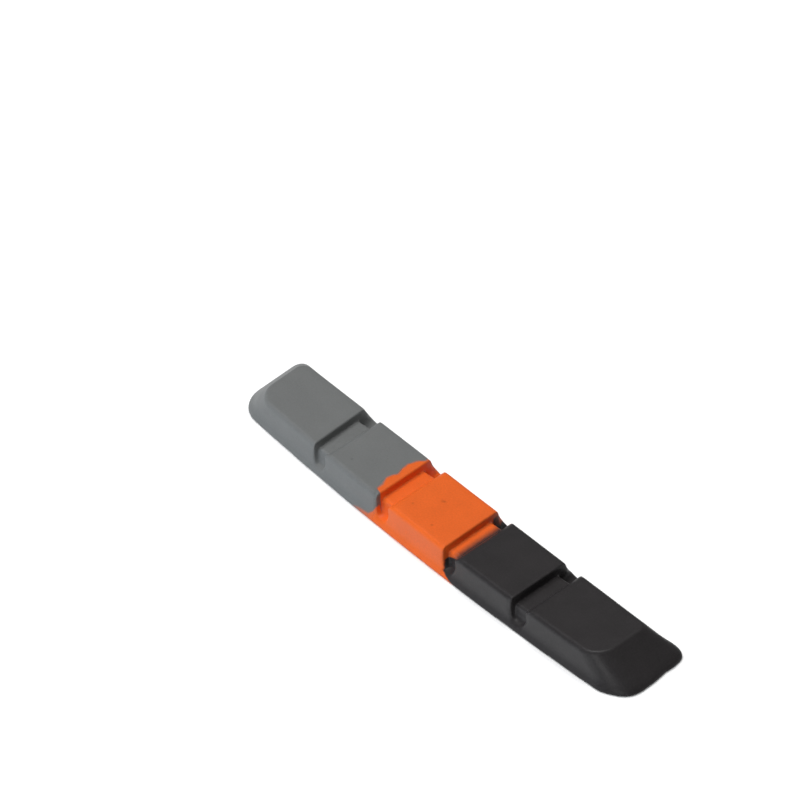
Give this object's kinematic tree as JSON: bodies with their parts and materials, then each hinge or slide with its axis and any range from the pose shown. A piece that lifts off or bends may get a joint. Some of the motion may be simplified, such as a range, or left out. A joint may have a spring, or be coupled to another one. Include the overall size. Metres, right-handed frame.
{
  "type": "bicycle rim brake insert pad",
  "caption": "Bowed rubber insert pad for a cartridge rim brake shoe: flared base, ramped ends and skewed cross grooves, moulded in grey, orange and black compounds.",
  "frame": {"origin": "centre of the flat back face, half way along the pad and half way across its base", "axes": "+Z out of the braking face, +X along the pad towards the black end, -Y towards the convex long side"},
  "size_m": [0.0723, 0.0126, 0.0041],
  "materials": {
    "grey_rubber": "matte moulded rubber",
    "orange_rubber": "matte moulded rubber",
    "black_rubber": "matte moulded rubber"
  },
  "bodies": {
    "root": {"grey_compound": "grey_rubber", "orange_compound": "orange_rubber", "black_compound": "black_rubber"}
  },
  "joints": []
}
